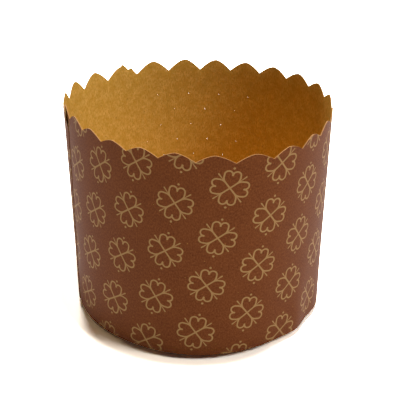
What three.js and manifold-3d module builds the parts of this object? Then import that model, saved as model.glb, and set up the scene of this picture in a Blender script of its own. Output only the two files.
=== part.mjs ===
// Panettone paper mold, in millimetres, +Z up, standing on Z = 0 with its axis on Z.
// One strip of kraft board makes the side wall: its top edge is scalloped, its ends lap and are glued,
// and its foot is turned in as a tucked hem. A fluted card disc lies on that hem as the base.

import * as THREE from 'three';
import { mergeVertices } from 'three/addons/utils/BufferGeometryUtils.js';
import Module from 'manifold-3d';

// Overall shape of the wall
const FOOT_DIAMETER = 103; // outside, where the straight wall would meet the table
const RIM_DIAMETER = 108; // mean outside diameter at the valleys between the scallops
const WALL_HEIGHT = 84.5; // table to the valleys, on average
const RIM_OVAL = 1.9; // how far the soft rim bulges on one diagonal and draws in on the other
const RIM_OVAL_ANGLE = -45; // degrees, a long diagonal of that oval
const RIM_LOBE = 1.2; // three shallow lobes on top of the oval
const RIM_LOBE_ANGLE = -90; // degrees, one of the lobes
const RIM_LEAN = 1; // how far the rim as a whole leans off the axis
const RIM_LEAN_ANGLE = 90; // degrees, the way it leans
const RIM_SADDLE = 0.9; // how far the top edge rises on two opposite sides and drops between them
const RIM_SADDLE_ANGLE = 35; // degrees, one of the high sides

// Board
const BOARD = 0.5; // thickness of the wall's sheet

// Scalloped top edge
const SCALLOPS = 24;
const SCALLOP_DEPTH = 3.5; // on average
const SCALLOP_SWING = 0.5; // how much deeper the scallops are on one side, and shallower on the other
const SCALLOP_SWING_ANGLE = 90; // degrees, the deep side
const SCALLOP_START = -0.8; // degrees, one of the valleys
const SCALLOP_PEAK = 0.48; // the peak's place between two valleys, from the left as seen from outside

// Glued lap at one side
const LAP_ANGLE = 178; // degrees, the cut end of the inner layer
const LAP_WIDTH = 12;
const LAP_RAMP = 5; // length over which the outer layer climbs onto the inner one
const CUT_LEAN = 0.12; // how far a cut end leans, measured round the wall

// Steam holes pricked through the wall in staggered rows, one to a scallop in each row
const PRICK_DIAMETER = 0.7;
const PRICK_SIDES = 4;
const PRICK_ROWS = 5;
const PRICK_ROW_PITCH = 7.3;
const PRICK_TOP_ROW = 73; // height of the highest row
const PRICK_PLACE = 0.41; // the top row's place between two valleys; the next row is half a pitch on

// Turned-in foot: the crease stands off the table, and the hem slopes down from it and then lies flat
const CREASE_HEIGHT = 2.5;
const FOOT_SLOPE = 4.5; // width of the sloping part
const HEM_WIDTH = 12; // sloping and flat part together
const TUCKS_PER_SCALLOP = 2;
const TUCK_WIDTH = 2.2;
const TUCK_HEIGHT = 0.5; // at the hem's free edge, none where the slope begins

// Base disc
const DISC_BOARD = 0.5;
const FLUTE_PITCH = 3.6;
const FLUTE_DEPTH = 1;
const FLUTE_STEPS = 6;
const DISC_SIDES = 96;
const GLUE_GAP = 0.3; // between the disc and the hem under it

const KRAFT = 0xb58140;
const PRINTED_BROWN = 0x66361e;

const footRadius = FOOT_DIAMETER / 2;
const hemRadius = footRadius - HEM_WIDTH;
const slopeFoot = footRadius - FOOT_SLOPE;
const slope = CREASE_HEIGHT / FOOT_SLOPE;
const slopeBoard = BOARD * Math.hypot(1, slope); // upright thickness of the sheet on the slope
const hemTop = BOARD + Math.max(BOARD, TUCK_HEIGHT);
const scallopAngle = 360 / SCALLOPS;
const tuckAngle = scallopAngle / TUCKS_PER_SCALLOP;
const { degToRad, radToDeg, euclideanModulo, clamp } = THREE.MathUtils;

// Degrees round the foot that a length takes up
const arcDegrees = (length) => radToDeg(length / footRadius);

const lapDegrees = arcDegrees(LAP_WIDTH);
const rampDegrees = arcDegrees(LAP_RAMP);
const leanDegrees = arcDegrees(CUT_LEAN);
const tuckHalf = arcDegrees(TUCK_WIDTH) / 2;

// Outside radius of the rim, which is no longer quite round
function rimRadius(angle) {
  const oval = RIM_OVAL * Math.cos(2 * degToRad(angle - RIM_OVAL_ANGLE));
  const lobe = RIM_LOBE * Math.cos(3 * degToRad(angle - RIM_LOBE_ANGLE));
  const lean = RIM_LEAN * Math.cos(degToRad(angle - RIM_LEAN_ANGLE));
  return RIM_DIAMETER / 2 + oval + lobe + lean;
}

// Outside radius of the wall, straight from the round foot to the rim
function wallRadius(angle, z) {
  return footRadius + (rimRadius(angle) - footRadius) * (z / WALL_HEIGHT);
}

// Height of the top edge: arcs that meet in sharp valleys
function topEdge(angle) {
  const along = euclideanModulo(angle - SCALLOP_START, scallopAngle) / scallopAngle;
  const fromPeak = along < SCALLOP_PEAK
    ? (SCALLOP_PEAK - along) / SCALLOP_PEAK
    : (along - SCALLOP_PEAK) / (1 - SCALLOP_PEAK);
  const valley = WALL_HEIGHT + RIM_SADDLE * Math.cos(2 * degToRad(angle - RIM_SADDLE_ANGLE));
  const depth = SCALLOP_DEPTH + SCALLOP_SWING * Math.cos(degToRad(angle - SCALLOP_SWING_ANGLE));
  return valley + depth * Math.cos(fromPeak * Math.PI / 2);
}

// How far the sheet stands outwards at the lap, in board thicknesses, on its inner and outer face
function lapLayers(angle) {
  const past = euclideanModulo(angle - LAP_ANGLE + 180, 360) - 180;
  const climb = clamp((past + rampDegrees) / rampDegrees, 0, 1);
  const doubled = clamp(past / leanDegrees, 0, 1) - clamp((past - lapDegrees) / leanDegrees, 0, 1);
  const outer = past < lapDegrees ? climb : clamp(1 - (past - lapDegrees) / leanDegrees, 0, 1);
  return { inner: Math.max(0, outer - doubled), outer, doubled };
}

// Radius at which the upper face of the hem turns from its flat part into the slope
function slopeInside(layers) {
  return slopeFoot - ((slopeBoard - BOARD) * layers) / slope;
}

// Height of the tuck at the hem's free edge: each takes up the sheet that the turned-in foot has to spare
function tuckLift(angle) {
  const along = euclideanModulo(angle - SCALLOP_START, tuckAngle);
  return TUCK_HEIGHT * Math.max(0, 1 - Math.abs(along - tuckHalf) / tuckHalf);
}

// The folded sheet's section at one angle, as radius and height, going round its edge
function wallSection(angle) {
  const { inner, outer, doubled } = lapLayers(angle);
  const tuck = tuckLift(angle);
  const top = topEdge(angle);
  const layers = 1 + doubled;
  const outside = (z) => wallRadius(angle, z) + BOARD * outer;
  const inside = (z) => wallRadius(angle, z) + BOARD * (inner - 1);
  const creaseInside = CREASE_HEIGHT + (slopeBoard - BOARD * slope) * layers;
  return [
    [hemRadius, tuck],
    [slopeFoot, 0],
    [outside(CREASE_HEIGHT), CREASE_HEIGHT],
    [outside(top), top],
    [inside(top), top],
    [inside(creaseInside), creaseInside],
    [slopeInside(layers), BOARD * layers],
    [hemRadius, BOARD + Math.max(tuck, BOARD * doubled)],
  ];
}

// Angles at which the wall's section is taken: the tucks and scallops, and both ends of the lap
function wallAngles() {
  const angles = [];
  for (let k = 0; k < SCALLOPS * TUCKS_PER_SCALLOP; k++) {
    const start = SCALLOP_START + k * tuckAngle;
    angles.push(start, start + tuckHalf, start + 2 * tuckHalf, start + tuckHalf + tuckAngle / 2);
  }
  const cuts = [LAP_ANGLE - rampDegrees, LAP_ANGLE, LAP_ANGLE + lapDegrees];
  const ends = [cuts[0], cuts[1], cuts[1] + leanDegrees, cuts[2], cuts[2] + leanDegrees];
  const clear = angles.filter((a) => ends.every((end) => {
    const apart = Math.abs(euclideanModulo(a - end + 180, 360) - 180);
    return apart > 2 * leanDegrees;
  }));
  return [...clear, ...ends].map((a) => euclideanModulo(a, 360)).sort((a, b) => a - b);
}

// A closed ring through sections that all have the same number of points
function ringGeometry(angles, sectionAt) {
  const positions = [];
  const index = [];
  const count = sectionAt(0).length;
  for (const angle of angles) {
    const turn = degToRad(angle);
    for (const [r, z] of sectionAt(angle)) {
      positions.push(r * Math.cos(turn), r * Math.sin(turn), z);
    }
  }
  angles.forEach((_, column) => {
    const here = column * count;
    const next = ((column + 1) % angles.length) * count;
    for (let i = 0; i < count; i++) {
      const j = (i + 1) % count;
      index.push(here + i, next + i, next + j, here + i, next + j, here + j);
    }
  });
  const geometry = new THREE.BufferGeometry();
  geometry.setAttribute('position', new THREE.Float32BufferAttribute(positions, 3));
  geometry.setIndex(index);
  geometry.computeVertexNormals();
  return geometry;
}

// The fluted sheet before it is cut round: a wave of even thickness, drawn out along Y
function flutedSheet(halfWidth, z) {
  const steps = Math.ceil((2 * halfWidth) / FLUTE_PITCH) * FLUTE_STEPS;
  const half = (steps / FLUTE_STEPS) * FLUTE_PITCH / 2;
  const wave = [];
  for (let i = 0; i <= steps; i++) {
    const x = -half + (i / FLUTE_STEPS) * FLUTE_PITCH;
    const rise = (FLUTE_DEPTH / 2) * (1 - Math.cos((2 * Math.PI * i) / FLUTE_STEPS));
    wave.push(new THREE.Vector2(x, rise));
  }
  const upper = wave.map((p) => new THREE.Vector2(p.x, p.y + DISC_BOARD));
  const shape = new THREE.Shape([...wave, ...upper.reverse()]);
  const geometry = new THREE.ExtrudeGeometry(shape, { depth: 2 * half, bevelEnabled: false });
  geometry.translate(0, 0, -half);
  geometry.rotateX(Math.PI / 2);
  geometry.translate(0, 0, z);
  return geometry;
}

const wasm = await Module();
wasm.setup();

// A closed mesh as a solid that can be joined or cut
function toSolid(geometry) {
  const bare = geometry.clone();
  bare.deleteAttribute('normal');
  bare.deleteAttribute('uv');
  const merged = mergeVertices(bare, 1e-4);
  return new wasm.Manifold(new wasm.Mesh({
    numProp: 3,
    vertProperties: merged.attributes.position.array,
    triVerts: new Uint32Array(merged.index.array),
  }));
}

// The solid back as a mesh's geometry
function toGeometry(solid) {
  const { numProp, vertProperties, triVerts } = solid.getMesh();
  const data = new THREE.InterleavedBuffer(vertProperties, numProp);
  const geometry = new THREE.BufferGeometry();
  geometry.setAttribute('position', new THREE.InterleavedBufferAttribute(data, 3, 0));
  geometry.setIndex(new THREE.BufferAttribute(triVerts, 1));
  const flat = geometry.toNonIndexed();
  flat.computeVertexNormals();
  return flat;
}

// Every steam hole as one thin radial prism, all in one solid
function prickTools() {
  const reach = 4 * BOARD;
  const tools = [];
  for (let row = 0; row < PRICK_ROWS; row++) {
    const z = PRICK_TOP_ROW - row * PRICK_ROW_PITCH;
    for (let k = 0; k < SCALLOPS; k++) {
      const angle = SCALLOP_START + (k + PRICK_PLACE + (row % 2) / 2) * scallopAngle;
      const tool = new THREE.CylinderGeometry(
        PRICK_DIAMETER / 2, PRICK_DIAMETER / 2, 2 * reach, PRICK_SIDES);
      tool.rotateZ(Math.PI / 2);
      tool.translate(wallRadius(angle, z), 0, z);
      tool.rotateZ(degToRad(angle));
      tools.push(toSolid(tool));
    }
  }
  return wasm.Manifold.union(tools);
}

// The side wall: the folded sheet with its steam holes
function wallGeometry() {
  const sheet = toSolid(ringGeometry(wallAngles(), wallSection));
  return toGeometry(sheet.subtract(prickTools()));
}

// The base disc: the fluted sheet cut round, a glue line above the flat part of the hem, lap and all
function discGeometry() {
  const underside = hemTop + GLUE_GAP;
  const radius = slopeInside(2);
  const height = 2 * (FLUTE_DEPTH + DISC_BOARD);
  const cutter = new THREE.CylinderGeometry(radius, radius, height, DISC_SIDES);
  cutter.rotateX(Math.PI / 2);
  cutter.translate(0, 0, underside + height / 4);
  const sheet = toSolid(flutedSheet(footRadius, underside));
  return toGeometry(sheet.intersect(toSolid(cutter)));
}

function card(name, geometry, color, roughness) {
  const mesh = new THREE.Mesh(
    geometry,
    new THREE.MeshStandardMaterial({ color, roughness, metalness: 0 }),
  );
  mesh.name = name;
  return mesh;
}

const mold = new THREE.Group();
mold.name = 'panettone_mold';
mold.add(
  card('side_wall', wallGeometry(), PRINTED_BROWN, 0.6),
  card('base_disc', discGeometry(), KRAFT, 0.85),
);

export default mold;
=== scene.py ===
# Panettone paper mold: one strip of printed kraft board, lapped and glued into a round wall, with a scalloped
# rim, steam holes and a turned-in tucked foot, and a fluted card disc that lies on that foot.
# Sizes are millimetres until a mesh is made of them. Angles are degrees counter-clockwise from +X, seen from
# above, so the side that faces the camera is at -90.

import math

import bpy
import numpy as np
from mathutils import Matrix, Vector


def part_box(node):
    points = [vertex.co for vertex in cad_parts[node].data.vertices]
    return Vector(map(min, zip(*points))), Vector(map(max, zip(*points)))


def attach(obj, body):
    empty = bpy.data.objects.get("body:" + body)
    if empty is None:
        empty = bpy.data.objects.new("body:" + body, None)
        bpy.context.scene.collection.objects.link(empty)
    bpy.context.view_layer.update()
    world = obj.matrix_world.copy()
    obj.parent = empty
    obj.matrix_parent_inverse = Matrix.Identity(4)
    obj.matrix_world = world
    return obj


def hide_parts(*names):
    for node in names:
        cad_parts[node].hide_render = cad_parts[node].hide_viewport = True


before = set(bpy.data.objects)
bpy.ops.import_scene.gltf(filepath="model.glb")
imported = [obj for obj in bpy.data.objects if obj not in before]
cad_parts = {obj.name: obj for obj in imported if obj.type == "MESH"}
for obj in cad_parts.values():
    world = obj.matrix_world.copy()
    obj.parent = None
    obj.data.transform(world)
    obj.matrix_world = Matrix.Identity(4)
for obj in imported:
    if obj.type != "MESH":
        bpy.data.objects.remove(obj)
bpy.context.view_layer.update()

MM = 0.001

# Wall, as in the solids
FOOT_DIAMETER = 103
RIM_DIAMETER = 108
WALL_HEIGHT = 84.5
RIM_OVAL = 1.9
RIM_OVAL_ANGLE = -45
RIM_LOBE = 1.2
RIM_LOBE_ANGLE = -90
RIM_LEAN = 1
RIM_LEAN_ANGLE = 90
RIM_SADDLE = 0.9
RIM_SADDLE_ANGLE = 35
BOARD = 0.5
SCALLOPS = 24
SCALLOP_DEPTH = 3.5
SCALLOP_SWING = 0.5
SCALLOP_SWING_ANGLE = 90
SCALLOP_START = -0.8
SCALLOP_PEAK = 0.48
LAP_ANGLE = 178
LAP_WIDTH = 12
LAP_RAMP = 5
CREASE_HEIGHT = 2.5
FOOT_SLOPE = 4.5
HEM_WIDTH = 12
TUCKS = 48
TUCK_WIDTH = 2.2
TUCK_HEIGHT = 0.5

# Finer form that the solids don't have
RIM_BOARD = 0.36  # thickness of the board at its worn top edge
TUCK_PEAK = 0.7  # where a tuck's ridge lies, as a share of its width
SCALLOP_POINTED = 0.25  # how far each scallop goes from a round arc to a straight-sided point

# Bulges and dents: angle, height, how far out, and how wide in degrees and high in millimetres they are
SOFT_SPOTS = (
    (-62, 84, 1.8, 22, 60),
    (-88, 0, 2.1, 30, 22),
    (-42, 0, 1.1, 7, 20),
    (-17, 0, 0.5, 8, 20),
    (-30, 0, -0.4, 6, 20),
)

# Uneven scallops: angle, how much higher their valleys and how much deeper they are, and how wide in degrees
SCALLOP_SPOTS = (
    (152, -0.9, 1.8, 26),
    (100, 0.2, 0.8, 26),
    (-132, -0.8, -0.7, 20),
)

# Torn bits of the edge: angle, how far up, and how wide in degrees
NICKS = (
    (126, 0.7, 0.7),
    (123.6, -0.8, 0.8),
    (121.8, 0.9, 0.7),
)

# Steam holes, as cones that open inward
PRICK_OUTSIDE = 0.21  # diameter at the outer face
PRICK_INSIDE = 0.5  # diameter at the inner face
PRICK_REACH_IN = 1.6  # how far each cone runs in from the outer face
PRICK_REACH_OUT = 0.3  # and how far out from it
PRICK_SIDES = 8
PRICK_ROWS = 10
PRICK_ROW_PITCH = 7.3
PRICK_TOP_ROW = 73
PRICK_PLACE = 0.38  # the top row's place between two valleys
PRICK_DRIFT = -0.55  # degrees from each row to the one below it, apart from the stagger

# Base disc
DISC_BOARD = 0.5
FLUTE_PITCH = 3.6
FLUTE_DEPTH = 1

# The loose end of the outer layer at the lap
GLUE_LINE = 0.04  # between the two layers
LAP_LIFT = 0.8  # how far the top corner stands off
LAP_LIFT_LENGTH = 5
LAP_LIFT_FROM = 80  # the height from which it does
LAP_THIN = 0.3  # how much thinner the end gets
LAP_THIN_LENGTH = 3

# How finely the meshes are cut
STEPS_PER_SCALLOP = 32
WALL_STEPS = 32
SLOPE_STEPS = 3
HEM_STEPS = 4
DISC_STEPS = 336
DISC_ROWS = 24
DISC_END = 0.001  # keeps the disc's first and last column from closing to a point
SHARP_ANGLE = 40  # degrees between two faces whose shared edge stays sharp

# The sheet's map of flat places, and its materials in their order
SHEET_MAP = "flat_sheet"
PRINTED, KRAFT, CUT = 0, 1, 2

foot_radius = FOOT_DIAMETER / 2
hem_radius = foot_radius - HEM_WIDTH
slope_foot = foot_radius - FOOT_SLOPE
slope = CREASE_HEIGHT / FOOT_SLOPE
slope_length = math.hypot(FOOT_SLOPE, CREASE_HEIGHT)
slope_board = BOARD * math.hypot(1, slope)  # upright thickness of the sheet on the slope
crease_inside = CREASE_HEIGHT + slope_board - BOARD * slope
scallop_angle = 360 / SCALLOPS
tuck_angle = 360 / TUCKS


def arc_degrees(length):
    """Degrees round the foot that a length takes up."""
    return math.degrees(length / foot_radius)


lap_degrees = arc_degrees(LAP_WIDTH)
sheet_degrees = 360 + lap_degrees


def ease(value):
    """Smooth step from 0 to 1 as the value goes from 0 to 1."""
    held = np.clip(value, 0, 1)
    return held * held * (3 - 2 * held)


# Shape of the wall

def turn_from(angle, place):
    """Degrees from one direction to another, the short way round."""
    return np.mod(angle - place + 180, 360) - 180


def rim_radius(angle):
    oval = RIM_OVAL * np.cos(2 * np.radians(angle - RIM_OVAL_ANGLE))
    lobe = RIM_LOBE * np.cos(3 * np.radians(angle - RIM_LOBE_ANGLE))
    lean = RIM_LEAN * np.cos(np.radians(angle - RIM_LEAN_ANGLE))
    return RIM_DIAMETER / 2 + oval + lobe + lean


def wall_radius(angle, z):
    return foot_radius + (rim_radius(angle) - foot_radius) * (z / WALL_HEIGHT)


def soft_push(angle, z):
    """How far the limp sheet stands out of its plain shape, from a few wide bulges and dents."""
    push = 0 * angle
    for place, height, out, width, reach in SOFT_SPOTS:
        apart = turn_from(angle, place)
        push = push + out * np.exp(-(apart / width) ** 2 - ((z - height) / reach) ** 2)
    return push


def top_edge(angle):
    """Height of the scalloped edge: arcs that meet in sharp valleys."""
    along = np.mod(angle - SCALLOP_START, scallop_angle) / scallop_angle
    from_peak = np.where(
        along < SCALLOP_PEAK,
        (SCALLOP_PEAK - along) / SCALLOP_PEAK,
        (along - SCALLOP_PEAK) / (1 - SCALLOP_PEAK),
    )
    valley = WALL_HEIGHT + RIM_SADDLE * np.cos(2 * np.radians(angle - RIM_SADDLE_ANGLE))
    depth = SCALLOP_DEPTH + SCALLOP_SWING * np.cos(np.radians(angle - SCALLOP_SWING_ANGLE))
    for place, higher, deeper, width in SCALLOP_SPOTS:
        share = np.exp(-(turn_from(angle, place) / width) ** 2)
        valley = valley + higher * share
        depth = depth + deeper * share
    rise = np.cos(from_peak * math.pi / 2) * (1 - SCALLOP_POINTED) + (1 - from_peak) * SCALLOP_POINTED
    for place, up, width in NICKS:
        valley = valley + up * np.exp(-(turn_from(angle, place) / width) ** 2)
    return valley + depth * rise


def tuck_lift(angle):
    """Height of the tuck at the hem's free edge: a fold that leans over to one side."""
    along = np.mod(angle - SCALLOP_START, tuck_angle) / arc_degrees(TUCK_WIDTH)
    rise = np.where(along < TUCK_PEAK, along / TUCK_PEAK, (1 - along) / (1 - TUCK_PEAK))
    return TUCK_HEIGHT * np.clip(rise, 0, 1)


def sheet_turns():
    """Degrees along the sheet from its inner end to its outer end, with a column at each valley and tuck."""
    step = scallop_angle / STEPS_PER_SCALLOP
    offset = (SCALLOP_START - LAP_ANGLE) % step
    turns = np.arange(offset, sheet_degrees, step)
    clear = (turns > step / 4) & (turns < sheet_degrees - step / 4)
    return np.concatenate([[0], turns[clear], [sheet_degrees]])


def near_end(turns, length):
    """Smooth step from 0 to 1 over the last stretch of the sheet, up to its outer end."""
    stretch = arc_degrees(length)
    return ease((turns - sheet_degrees + stretch) / stretch)


def lap_layers(turns):
    """How far the sheet stands out from the wall and up from the table, where it laps over itself."""
    ramp = arc_degrees(LAP_RAMP)
    outward = (BOARD + GLUE_LINE) * ease((turns - 360 + ramp) / ramp)
    upward = (BOARD + GLUE_LINE) * (1 - ease((turns - lap_degrees) / ramp))
    return outward, upward


def wall_outside(turns, z):
    """Radius of the outer face: the plain wall, its bulges, and the lap with its loose corner."""
    angle = LAP_ANGLE + turns
    outward, _ = lap_layers(turns)
    loose = near_end(turns, LAP_LIFT_LENGTH)
    lift = LAP_LIFT * loose ** 2 * ease((z - LAP_LIFT_FROM) / (WALL_HEIGHT - LAP_LIFT_FROM))
    return wall_radius(angle, z) + soft_push(angle, z) + outward + lift


# Each row of the sheet is the radius and height of its outer face, those of its inner face,
# and how far up the flat sheet it lies.

def hem_rows(turns):
    """The flat part of the hem, from its free edge to the foot of the slope."""
    ramp = arc_degrees(LAP_RAMP)
    clear_of_lap = ease((turns - lap_degrees) / ramp) * ease((360 - turns) / ramp)
    tuck = tuck_lift(LAP_ANGLE + turns) * clear_of_lap
    _, upward = lap_layers(turns)
    rows = []
    for i in range(HEM_STEPS):
        share = i / HEM_STEPS
        radius = hem_radius + (slope_foot - hem_radius) * share
        radii = np.full(len(turns), radius)
        lift = upward + tuck * (1 - share)
        along = CREASE_HEIGHT - slope_length - (slope_foot - radius)
        rows.append(((radii, lift), (radii, lift + BOARD), along))
    return rows


def slope_rows(turns):
    """The sloping part of the hem, from the table up to the crease."""
    _, upward = lap_layers(turns)
    outer_crease = wall_outside(turns, CREASE_HEIGHT)
    inner_crease = wall_outside(turns, crease_inside) - BOARD
    inner_foot = slope_foot - (slope_board - BOARD) / slope
    rows = []
    for i in range(SLOPE_STEPS + 1):
        share = i / SLOPE_STEPS
        outer = (
            slope_foot + (outer_crease - slope_foot) * share,
            upward * (1 - share) + CREASE_HEIGHT * share,
        )
        inner = (
            inner_foot + (inner_crease - inner_foot) * share,
            (upward + BOARD) * (1 - share) + crease_inside * share,
        )
        rows.append((outer, inner, CREASE_HEIGHT - slope_length * (1 - share)))
    return rows


def wall_rows(turns):
    """The upright wall, from above the crease to the scalloped edge."""
    top = top_edge(LAP_ANGLE + turns)
    thin = LAP_THIN * near_end(turns, LAP_THIN_LENGTH)
    rows = []
    for i in range(1, WALL_STEPS + 1):
        share = i / WALL_STEPS
        z = CREASE_HEIGHT + (top - CREASE_HEIGHT) * share
        within = crease_inside + (top - crease_inside) * share
        thickness = BOARD if i < WALL_STEPS else RIM_BOARD
        outer = (wall_outside(turns, z) - thin, z)
        inner = (wall_outside(turns, within) - thickness, within)
        rows.append((outer, inner, z))
    return rows


def wall_faces(turns):
    """The sheet's outer and inner face as arrays of columns by rows by (x, y, z), from hem to rim,
    and how far up the flat sheet each point lies."""
    turn = np.radians(LAP_ANGLE + turns)
    rows = hem_rows(turns) + slope_rows(turns) + wall_rows(turns)

    def points(face):
        return np.stack([np.stack([r * np.cos(turn), r * np.sin(turn), z], -1) for r, z in face], 1)

    outer = points([row[0] for row in rows])
    inner = points([row[1] for row in rows])
    lengths = np.stack([np.broadcast_to(row[2], turns.shape) for row in rows], 1)
    return outer, inner, lengths


def flat_sheet(turns, lengths):
    """Where each point lies on the flat sheet, a ring sector, in millimetres from the front of the foot."""
    flare = (RIM_DIAMETER - FOOT_DIAMETER) / 2 / WALL_HEIGHT
    sector = flare / math.hypot(1, flare)
    cone = foot_radius / sector
    front = np.radians(turns + LAP_ANGLE - 270)[:, None] * sector
    reach = cone + lengths * math.hypot(1, flare)
    return np.stack([reach * np.sin(front), reach * np.cos(front) - cone], -1)


def sheet_mesh(name, outer, inner, flat):
    """A closed sheet between two grids of points, with its flat place as UV and a material for each side."""
    columns, rows = outer.shape[:2]
    count = columns * rows
    index = np.arange(count).reshape(columns, rows)
    under = index + count

    def quads(a, b, c, d, kind):
        found = np.stack([a.ravel(), b.ravel(), c.ravel(), d.ravel()], -1)
        return found, np.full(len(found), kind)

    parts = [
        quads(index[:-1, :-1], index[1:, :-1], index[1:, 1:], index[:-1, 1:], PRINTED),
        quads(under[:-1, :-1], under[:-1, 1:], under[1:, 1:], under[1:, :-1], KRAFT),
        quads(index[:-1, -1], index[1:, -1], under[1:, -1], under[:-1, -1], CUT),
        quads(index[:-1, 0], under[:-1, 0], under[1:, 0], index[1:, 0], CUT),
        quads(index[0, :-1], index[0, 1:], under[0, 1:], under[0, :-1], CUT),
        quads(index[-1, :-1], under[-1, :-1], under[-1, 1:], index[-1, 1:], PRINTED),
    ]
    faces = np.concatenate([part[0] for part in parts])
    kinds = np.concatenate([part[1] for part in parts])
    points = np.concatenate([outer.reshape(-1, 3), inner.reshape(-1, 3)]) * MM
    mesh = bpy.data.meshes.new(name)
    mesh.from_pydata(points.tolist(), [], faces.tolist())
    mesh.polygons.foreach_set("material_index", kinds.astype(np.int32))
    places = np.concatenate([flat.reshape(-1, 2)] * 2)
    corners = np.zeros(len(mesh.loops), np.int32)
    mesh.loops.foreach_get("vertex_index", corners)
    mesh.uv_layers.new(name=SHEET_MAP).data.foreach_set("uv", places[corners].astype(np.float32).ravel())
    return mesh


def smooth(mesh):
    """Smooth shading, except across sharp edges."""
    mesh.shade_smooth()
    mesh.set_sharp_from_angle(angle=math.radians(SHARP_ANGLE))


def add_object(name, mesh):
    made = bpy.data.objects.new(name, mesh)
    bpy.context.scene.collection.objects.link(made)
    return made


def prick_cone(angle, z):
    """The corners of one steam hole's radial cone: the ring inside the wall, then the ring outside it."""
    flare = (PRICK_INSIDE - PRICK_OUTSIDE) / 2 / BOARD
    turn = math.radians(angle)
    out = Vector((math.cos(turn), math.sin(turn), 0))
    side = Vector((-out.y, out.x, 0))
    centre = out * (wall_radius(angle, z) + soft_push(angle, z)) + Vector((0, 0, z))
    corners = []
    for end in (-PRICK_REACH_IN, PRICK_REACH_OUT):
        radius = PRICK_OUTSIDE / 2 - flare * end
        for i in range(PRICK_SIDES):
            spin = 2 * math.pi * i / PRICK_SIDES
            ring = side * math.cos(spin) + Vector((0, 0, math.sin(spin)))
            corners.append((centre + out * end + ring * radius) * MM)
    return corners


def cone_faces(first):
    """The two ends and the sides of a cone whose corners are numbered from `first`."""
    near = [first + i for i in range(PRICK_SIDES)]
    far = [first + PRICK_SIDES + i for i in range(PRICK_SIDES)]
    faces = [near[::-1], far]
    for i in range(PRICK_SIDES):
        j = (i + 1) % PRICK_SIDES
        faces.append([near[i], near[j], far[j], far[i]])
    return faces


def prick_cutter():
    """Every steam hole as one thin cone, staggered from row to row."""
    points = []
    faces = []
    for row in range(PRICK_ROWS):
        z = PRICK_TOP_ROW - row * PRICK_ROW_PITCH
        for k in range(SCALLOPS):
            place = k + PRICK_PLACE + (row % 2) / 2
            faces += cone_faces(len(points))
            points += prick_cone(SCALLOP_START + place * scallop_angle + row * PRICK_DRIFT, z)
    mesh = bpy.data.meshes.new("pricks")
    mesh.from_pydata(points, [], faces)
    mesh.polygons.foreach_set("material_index", np.full(len(faces), KRAFT, np.int32))
    return add_object("pricks", mesh)


def cut(piece, cutter):
    """Takes the cutter out of the piece for good."""
    step = piece.modifiers.new("cut", "BOOLEAN")
    step.object = cutter
    step.solver = "MANIFOLD"
    graph = bpy.context.evaluated_depsgraph_get()
    result = bpy.data.meshes.new_from_object(piece.evaluated_get(graph))
    piece.modifiers.clear()
    piece.data = result
    bpy.data.objects.remove(cutter)


def build_wall(materials):
    turns = sheet_turns()
    outer, inner, lengths = wall_faces(turns)
    wall = add_object("wall_sheet", sheet_mesh("wall_sheet", outer, inner, flat_sheet(turns, lengths)))
    for material in materials:
        wall.data.materials.append(material)
    cutter = prick_cutter()
    for material in materials:
        cutter.data.materials.append(material)
    cut(wall, cutter)
    smooth(wall.data)
    return wall


# Materials

# The Mix node repeats its sockets for each kind of value. These are the places of the colour ones.
MIX_LOW = 6
MIX_HIGH = 7
MIX_RESULT = 2


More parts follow.
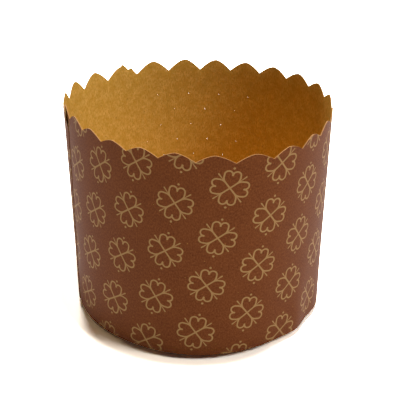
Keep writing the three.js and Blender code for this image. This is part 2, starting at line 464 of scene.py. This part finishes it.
class Graph:
    """Short calls for building one material's nodes. A value is a socket or a plain number."""

    def __init__(self, name):
        self.material = bpy.data.materials.new(name)
        self.material.use_nodes = True
        self.tree = self.material.node_tree
        self.shader = self.tree.nodes["Principled BSDF"]

    def feed(self, socket, value):
        if isinstance(value, bpy.types.NodeSocket):
            self.tree.links.new(value, socket)
        else:
            socket.default_value = value

    def node(self, kind, **settings):
        made = self.tree.nodes.new(kind)
        for key, value in settings.items():
            setattr(made, key, value)
        return made

    def math(self, operation, *values):
        made = self.node("ShaderNodeMath", operation=operation)
        for socket, value in zip(made.inputs, values):
            self.feed(socket, value)
        return made.outputs[0]

    def length(self, x, y):
        squares = self.math("ADD", self.math("MULTIPLY", x, x), self.math("MULTIPLY", y, y))
        return self.math("SQRT", squares)

    def to_stroke(self, x, y, start, end):
        """Distance to a straight stroke between two points."""
        reach = math.dist(start, end)
        along_x = (end[0] - start[0]) / reach
        along_y = (end[1] - start[1]) / reach
        from_x = self.math("SUBTRACT", x, start[0])
        from_y = self.math("SUBTRACT", y, start[1])
        along = self.math(
            "ADD", self.math("MULTIPLY", from_x, along_x), self.math("MULTIPLY", from_y, along_y))
        nearest = self.math("MINIMUM", self.math("MAXIMUM", along, 0), reach)
        return self.length(
            self.math("SUBTRACT", from_x, self.math("MULTIPLY", nearest, along_x)),
            self.math("SUBTRACT", from_y, self.math("MULTIPLY", nearest, along_y)),
        )

    def ring(self, x, y, radius):
        """Distance to a circle about the origin."""
        return self.math("ABSOLUTE", self.math("SUBTRACT", self.length(x, y), radius))

    def only(self, distance, there):
        """The distance where `there` is one, and a great length elsewhere."""
        return self.math("ADD", distance, self.math("MULTIPLY", self.math("SUBTRACT", 1, there), FAR))

    def smallest(self, *values):
        found = values[0]
        for value in values[1:]:
            found = self.math("MINIMUM", found, value)
        return found

    def ramp(self, value, low, high, to_low=0.0, to_high=1.0):
        """Smooth step of a value as it goes from `low` to `high`."""
        made = self.node("ShaderNodeMapRange", interpolation_type="SMOOTHSTEP")
        names = ("Value", "From Min", "From Max", "To Min", "To Max")
        for name, given in zip(names, (value, low, high, to_low, to_high)):
            self.feed(made.inputs[name], given)
        return made.outputs["Result"]

    def colour(self, share, low, high):
        made = self.node("ShaderNodeMix", data_type="RGBA")
        self.feed(made.inputs["Factor"], share)
        self.feed(made.inputs[MIX_LOW], low)
        self.feed(made.inputs[MIX_HIGH], high)
        return made.outputs[MIX_RESULT]

    def flat_place(self, across=1.0, up=1.0):
        """Millimetres on the flat sheet, stretched for a texture that runs along one direction."""
        place = self.node("ShaderNodeUVMap", uv_map=SHEET_MAP)
        made = self.node("ShaderNodeMapping")
        self.feed(made.inputs["Vector"], place.outputs[0])
        made.inputs["Scale"].default_value = (across, up, 1)
        return made.outputs[0]

    def noise(self, place, scale, detail, roughness=0.5):
        made = self.node("ShaderNodeTexNoise")
        self.feed(made.inputs["Vector"], place)
        made.inputs["Scale"].default_value = scale
        made.inputs["Detail"].default_value = detail
        made.inputs["Roughness"].default_value = roughness
        return made.outputs["Fac"]

    def bump(self, height, distance):
        made = self.node("ShaderNodeBump")
        made.inputs["Distance"].default_value = distance
        self.feed(made.inputs["Height"], height)
        self.feed(self.shader.inputs["Normal"], made.outputs[0])


def srgb(red, green, blue):
    """A colour given as it looks on screen, as the linear value that a shader takes."""
    def linear(level):
        share = level / 255
        return share / 12.92 if share <= 0.04045 else ((share + 0.055) / 1.055) ** 2.4
    return (linear(red), linear(green), linear(blue), 1)


# Print: clovers on a triangular lattice that leans to the right, in millimetres and degrees
PRINT_PITCH = 20.9
PRINT_LEAN = 11.2
PRINT_ORIGIN = (11.2, 74.23)
STROKE = 0.62
LEAF_HALF_WIDTH = 2.95
SIDE_RADIUS = 3
LOBE_PLACE = 5.25
LOBE_RADIUS = 1.45
BEAD_START = 5.2
BEAD_END = 5.9
BEAD_RADIUS = 0.38
DOT_PLACE = 7.9
DOT_RADIUS = 0.45
RAY_START = 4.2
RAY_END = 7.1
RAY_START_RADIUS = 0.12
RAY_END_RADIUS = 0.27
INK_BLUR = 0.14
FAR = 9  # more than any distance that the ink has to tell apart


def lattice_place(g):
    """Place within the nearest clover, along and up its own axes, in millimetres."""
    place = g.node("ShaderNodeSeparateXYZ")
    g.feed(place.inputs[0], g.flat_place())
    x = g.math("SUBTRACT", place.outputs[0], PRINT_ORIGIN[0])
    y = g.math("SUBTRACT", place.outputs[1], PRINT_ORIGIN[1])
    cosine = math.cos(math.radians(PRINT_LEAN))
    sine = math.sin(math.radians(PRINT_LEAN))
    across = g.math("SUBTRACT", g.math("MULTIPLY", x, cosine), g.math("MULTIPLY", y, sine))
    up = g.math("ADD", g.math("MULTIPLY", x, sine), g.math("MULTIPLY", y, cosine))
    width = PRINT_PITCH * math.sqrt(3)
    cells = []
    for shift in (0, 0.5):
        a = g.math("WRAP", g.math("ADD", across, shift * width), width / 2, -width / 2)
        b = g.math("WRAP", g.math("ADD", up, shift * PRINT_PITCH), PRINT_PITCH / 2, -PRINT_PITCH / 2)
        cells.append((a, b))
    nearer = g.math("LESS_THAN", g.length(*cells[1]), g.length(*cells[0]))

    def pick(first, second):
        return g.math("ADD", first, g.math("MULTIPLY", nearer, g.math("SUBTRACT", second, first)))

    return pick(cells[0][0], cells[1][0]), pick(cells[0][1], cells[1][1])


def clover_ink(g):
    """One where the ink of a clover lies: four heart-shaped leaves in outline, with beads, rays and dots."""
    x, y = lattice_place(g)
    x = g.math("ABSOLUTE", x)
    y = g.math("ABSOLUTE", y)
    along = g.math("MAXIMUM", x, y)
    beside = g.math("MINIMUM", x, y)
    out = g.math("MULTIPLY", g.math("ADD", along, beside), math.sqrt(0.5))
    off = g.math("MULTIPLY", g.math("SUBTRACT", along, beside), math.sqrt(0.5))

    side_centre = LEAF_HALF_WIDTH - SIDE_RADIUS
    side_place = side_centre + SIDE_RADIUS * math.sqrt(2)
    vein_end = (side_place + side_centre) * math.sqrt(0.5)
    vein = g.to_stroke(out, off, (0, 0), (vein_end, 0))

    below = g.math("MINIMUM", g.math("SUBTRACT", along, side_place), 0)
    side = g.ring(below, g.math("SUBTRACT", beside, side_centre), SIDE_RADIUS)
    side = g.only(side, g.math("GREATER_THAN", out, vein_end))
    side = g.only(side, g.math("LESS_THAN", along, LOBE_PLACE))

    above = g.math("SUBTRACT", along, LOBE_PLACE)
    lobe = g.ring(above, g.math("SUBTRACT", beside, LEAF_HALF_WIDTH - LOBE_RADIUS), LOBE_RADIUS)
    lobe = g.only(lobe, g.math("GREATER_THAN", above, 0))

    outline = g.math("SUBTRACT", g.smallest(vein, side, lobe), STROKE / 2)
    bead = g.math("SUBTRACT", g.to_stroke(along, beside, (BEAD_START, 0), (BEAD_END, 0)), BEAD_RADIUS)
    end_dot = g.math("SUBTRACT", g.length(x, g.math("SUBTRACT", y, DOT_PLACE)), DOT_RADIUS)
    ray = g.math(
        "SUBTRACT",
        g.to_stroke(out, off, (RAY_START, 0), (RAY_END, 0)),
        g.ramp(out, RAY_START, RAY_END, RAY_START_RADIUS, RAY_END_RADIUS),
    )
    edge = g.smallest(outline, bead, end_dot, ray)
    return g.ramp(edge, -INK_BLUR / 2, INK_BLUR / 2, 1.0, 0.0)


def printed_board():
    g = Graph("printed_board")
    cloud = g.noise(g.flat_place(), 0.12, 3.0)
    mottle = g.noise(g.flat_place(1.2, 0.8), 1.5, 4.0, 0.8)
    grain = g.noise(g.flat_place(), 2.5, 3.0)
    brown = g.colour(g.ramp(cloud, 0.3, 0.7), srgb(85, 40, 11), srgb(93, 46, 15))
    mottled = g.colour(g.ramp(mottle, 0.35, 0.7), brown, srgb(124, 69, 33))
    ink = clover_ink(g)
    worn = g.math("MULTIPLY", ink, g.ramp(grain, 0.25, 0.5, 0.72, 1.0))
    g.feed(g.shader.inputs["Base Color"], g.colour(worn, mottled, srgb(154, 117, 72)))
    g.feed(g.shader.inputs["Roughness"], g.ramp(grain, 0.3, 0.7, 0.5, 0.6))
    g.shader.inputs["Specular IOR Level"].default_value = 0.055
    g.bump(g.math("ADD", grain, mottle), 0.00003)
    return g.material


def bare_kraft():
    g = Graph("bare_kraft")
    mottle = g.noise(g.flat_place(1, 0.8), 0.3, 3.0, 0.7)
    fibres = g.noise(g.flat_place(1.5, 0.7), 1.1, 4.0, 0.7)
    grain = g.noise(g.flat_place(), 2.2, 3.0)
    base = g.colour(g.ramp(mottle, 0.35, 0.65), srgb(193, 151, 65), srgb(213, 171, 90))
    speckled = g.colour(g.ramp(fibres, 0.33, 0.63), srgb(181, 137, 50), base)
    g.feed(g.shader.inputs["Base Color"], speckled)
    g.feed(g.shader.inputs["Roughness"], g.ramp(grain, 0.3, 0.7, 0.8, 0.9))
    g.shader.inputs["Specular IOR Level"].default_value = 0.05
    g.bump(g.math("ADD", grain, fibres), 0.00005)
    return g.material


def cut_edge():
    g = Graph("cut_edge")
    fibres = g.noise(g.flat_place(), 3.0, 3.0)
    g.feed(g.shader.inputs["Base Color"], g.colour(fibres, srgb(132, 91, 44), srgb(158, 113, 60)))
    g.shader.inputs["Roughness"].default_value = 0.9
    g.bump(fibres, 0.0001)
    return g.material


# Base disc

def disc_grid(radius):
    """Places on the round card, in columns across the flutes and rows along them."""
    x = np.linspace(-radius, radius, DISC_STEPS + 1)
    x[0] += DISC_END
    x[-1] -= DISC_END
    half = np.sqrt(radius ** 2 - x ** 2)
    y = half[:, None] * np.linspace(-1, 1, DISC_ROWS + 1)[None, :]
    return np.repeat(x[:, None], DISC_ROWS + 1, 1), y


def build_disc(material):
    """The fluted card disc: a wave of even thickness, cut round. One material covers all of it."""
    low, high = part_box("base_disc")
    x, y = disc_grid((high.x - low.x) / 2 / MM)
    rise = FLUTE_DEPTH / 2 * (1 - np.cos(2 * math.pi * x / FLUTE_PITCH))
    z = low.z / MM + rise
    lower = np.stack([x, y, z], -1)
    upper = np.stack([x, y, z + DISC_BOARD], -1)
    mesh = sheet_mesh("disc_card", upper, lower, np.stack([x, y], -1))
    mesh.polygons.foreach_set("material_index", np.zeros(len(mesh.polygons), np.int32))
    mesh.materials.append(material)
    smooth(mesh)
    return add_object("disc_card", mesh)


# Stage, in metres
FLOOR_RADIUS = 1.2
FLOOR_SIDES = 96
FLOOR_BOUNCE = (0.85, 0.85, 0.85, 1)  # the floor's colour as it lights the object
FLOOR_WHITE = (2.5, 2.35, 2.1, 1)  # and as the camera sees it, so that it comes out white
WORLD_STRENGTH = 0.02
LAMP_TARGET = Vector((0, 0, 0.05))

WHITE = (1, 1, 1)

# Lamps: name, place, diameter, power in watts and colour
LAMPS = (
    ("key", (0.92, -0.45, 0.95), 0.5, 7.9, WHITE),
    ("overhead", (0.12, 0.04, 1.5), 0.16, 34, WHITE),
    ("back", (-0.28, 1.05, 1.2), 0.3, 15, WHITE),
    ("warm", (-0.8, -0.1, 1.2), 0.3, 1.1, (1, 0.75, 0.4)),
)


def floor_material():
    """A pale matt floor that the camera sees as white, with the object's shadow kept."""
    g = Graph("floor")
    g.tree.nodes.remove(g.shader)
    bounce = g.node("ShaderNodeBsdfDiffuse")
    bounce.inputs["Color"].default_value = FLOOR_BOUNCE
    white = g.node("ShaderNodeBsdfDiffuse")
    white.inputs["Color"].default_value = FLOOR_WHITE
    chosen = g.node("ShaderNodeMixShader")
    g.feed(chosen.inputs[0], g.node("ShaderNodeLightPath").outputs["Is Camera Ray"])
    g.tree.links.new(bounce.outputs[0], chosen.inputs[1])
    g.tree.links.new(white.outputs[0], chosen.inputs[2])
    g.tree.links.new(chosen.outputs[0], g.tree.nodes["Material Output"].inputs[0])
    return g.material


def seen_directly(tree):
    """One for a ray that shows the background: from the camera, a reflection or through glass."""
    path = tree.nodes.new("ShaderNodeLightPath")
    total = path.outputs["Is Camera Ray"]
    for name in ("Is Glossy Ray", "Is Transmission Ray"):
        both = tree.nodes.new("ShaderNodeMath")
        both.operation = "MAXIMUM"
        tree.links.new(total, both.inputs[0])
        tree.links.new(path.outputs[name], both.inputs[1])
        total = both.outputs[0]
    return total


def build_floor():
    bpy.ops.mesh.primitive_circle_add(vertices=FLOOR_SIDES, radius=FLOOR_RADIUS, fill_type="NGON")
    floor = bpy.context.object
    floor.name = "floor"
    floor.data.materials.append(floor_material())


def light_world(strength):
    """A white world that lights the object only faintly."""
    world = bpy.data.worlds.new("studio")
    world.use_nodes = True
    bpy.context.scene.world = world
    tree = world.node_tree
    lamp = tree.nodes["Background"]
    lamp.inputs["Color"].default_value = (1, 1, 1, 1)
    lamp.inputs["Strength"].default_value = strength
    white = tree.nodes.new("ShaderNodeBackground")
    white.inputs["Color"].default_value = (1, 1, 1, 1)
    white.inputs["Strength"].default_value = 1
    chosen = tree.nodes.new("ShaderNodeMixShader")
    tree.links.new(seen_directly(tree), chosen.inputs[0])
    tree.links.new(lamp.outputs[0], chosen.inputs[1])
    tree.links.new(white.outputs[0], chosen.inputs[2])
    tree.links.new(chosen.outputs[0], tree.nodes["World Output"].inputs[0])


def add_lamp(name, place, size, power, colour):
    """A round lamp that faces the middle of the object."""
    data = bpy.data.lights.new(name, "AREA")
    data.shape = "DISK"
    data.size = size
    data.energy = power
    data.color = colour
    lamp = add_object(name, data)
    lamp.location = place
    lamp.rotation_euler = (LAMP_TARGET - Vector(place)).to_track_quat("-Z", "Y").to_euler()


# Camera, from the fit of the photograph, in millimetres, degrees and the photograph's pixels
FRAME_PIXELS = 400
FOCAL_PIXELS = 1001
SENSOR = 36
CAMERA_PLACE = (0.72, -381.7, 223.1)
CAMERA_PITCH = 25.12


def add_camera():
    data = bpy.data.cameras.new("camera")
    data.sensor_width = SENSOR
    data.lens = SENSOR * FOCAL_PIXELS / FRAME_PIXELS
    camera = add_object("camera", data)
    camera.location = Vector(CAMERA_PLACE) * MM
    camera.rotation_euler = (math.radians(90 - CAMERA_PITCH), 0, 0)
    bpy.context.scene.camera = camera


# The scene

add_camera()
build_floor()
light_world(WORLD_STRENGTH)
for lamp in LAMPS:
    add_lamp(*lamp)

wall = build_wall([printed_board(), bare_kraft(), cut_edge()])
disc = build_disc(bare_kraft())
for piece, node, slot in ((wall, "side_wall", "printed_board"), (disc, "base_disc", "kraft_card")):
    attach(piece, "root")
    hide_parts(node)

bpy.context.scene.view_settings.view_transform = "Standard"
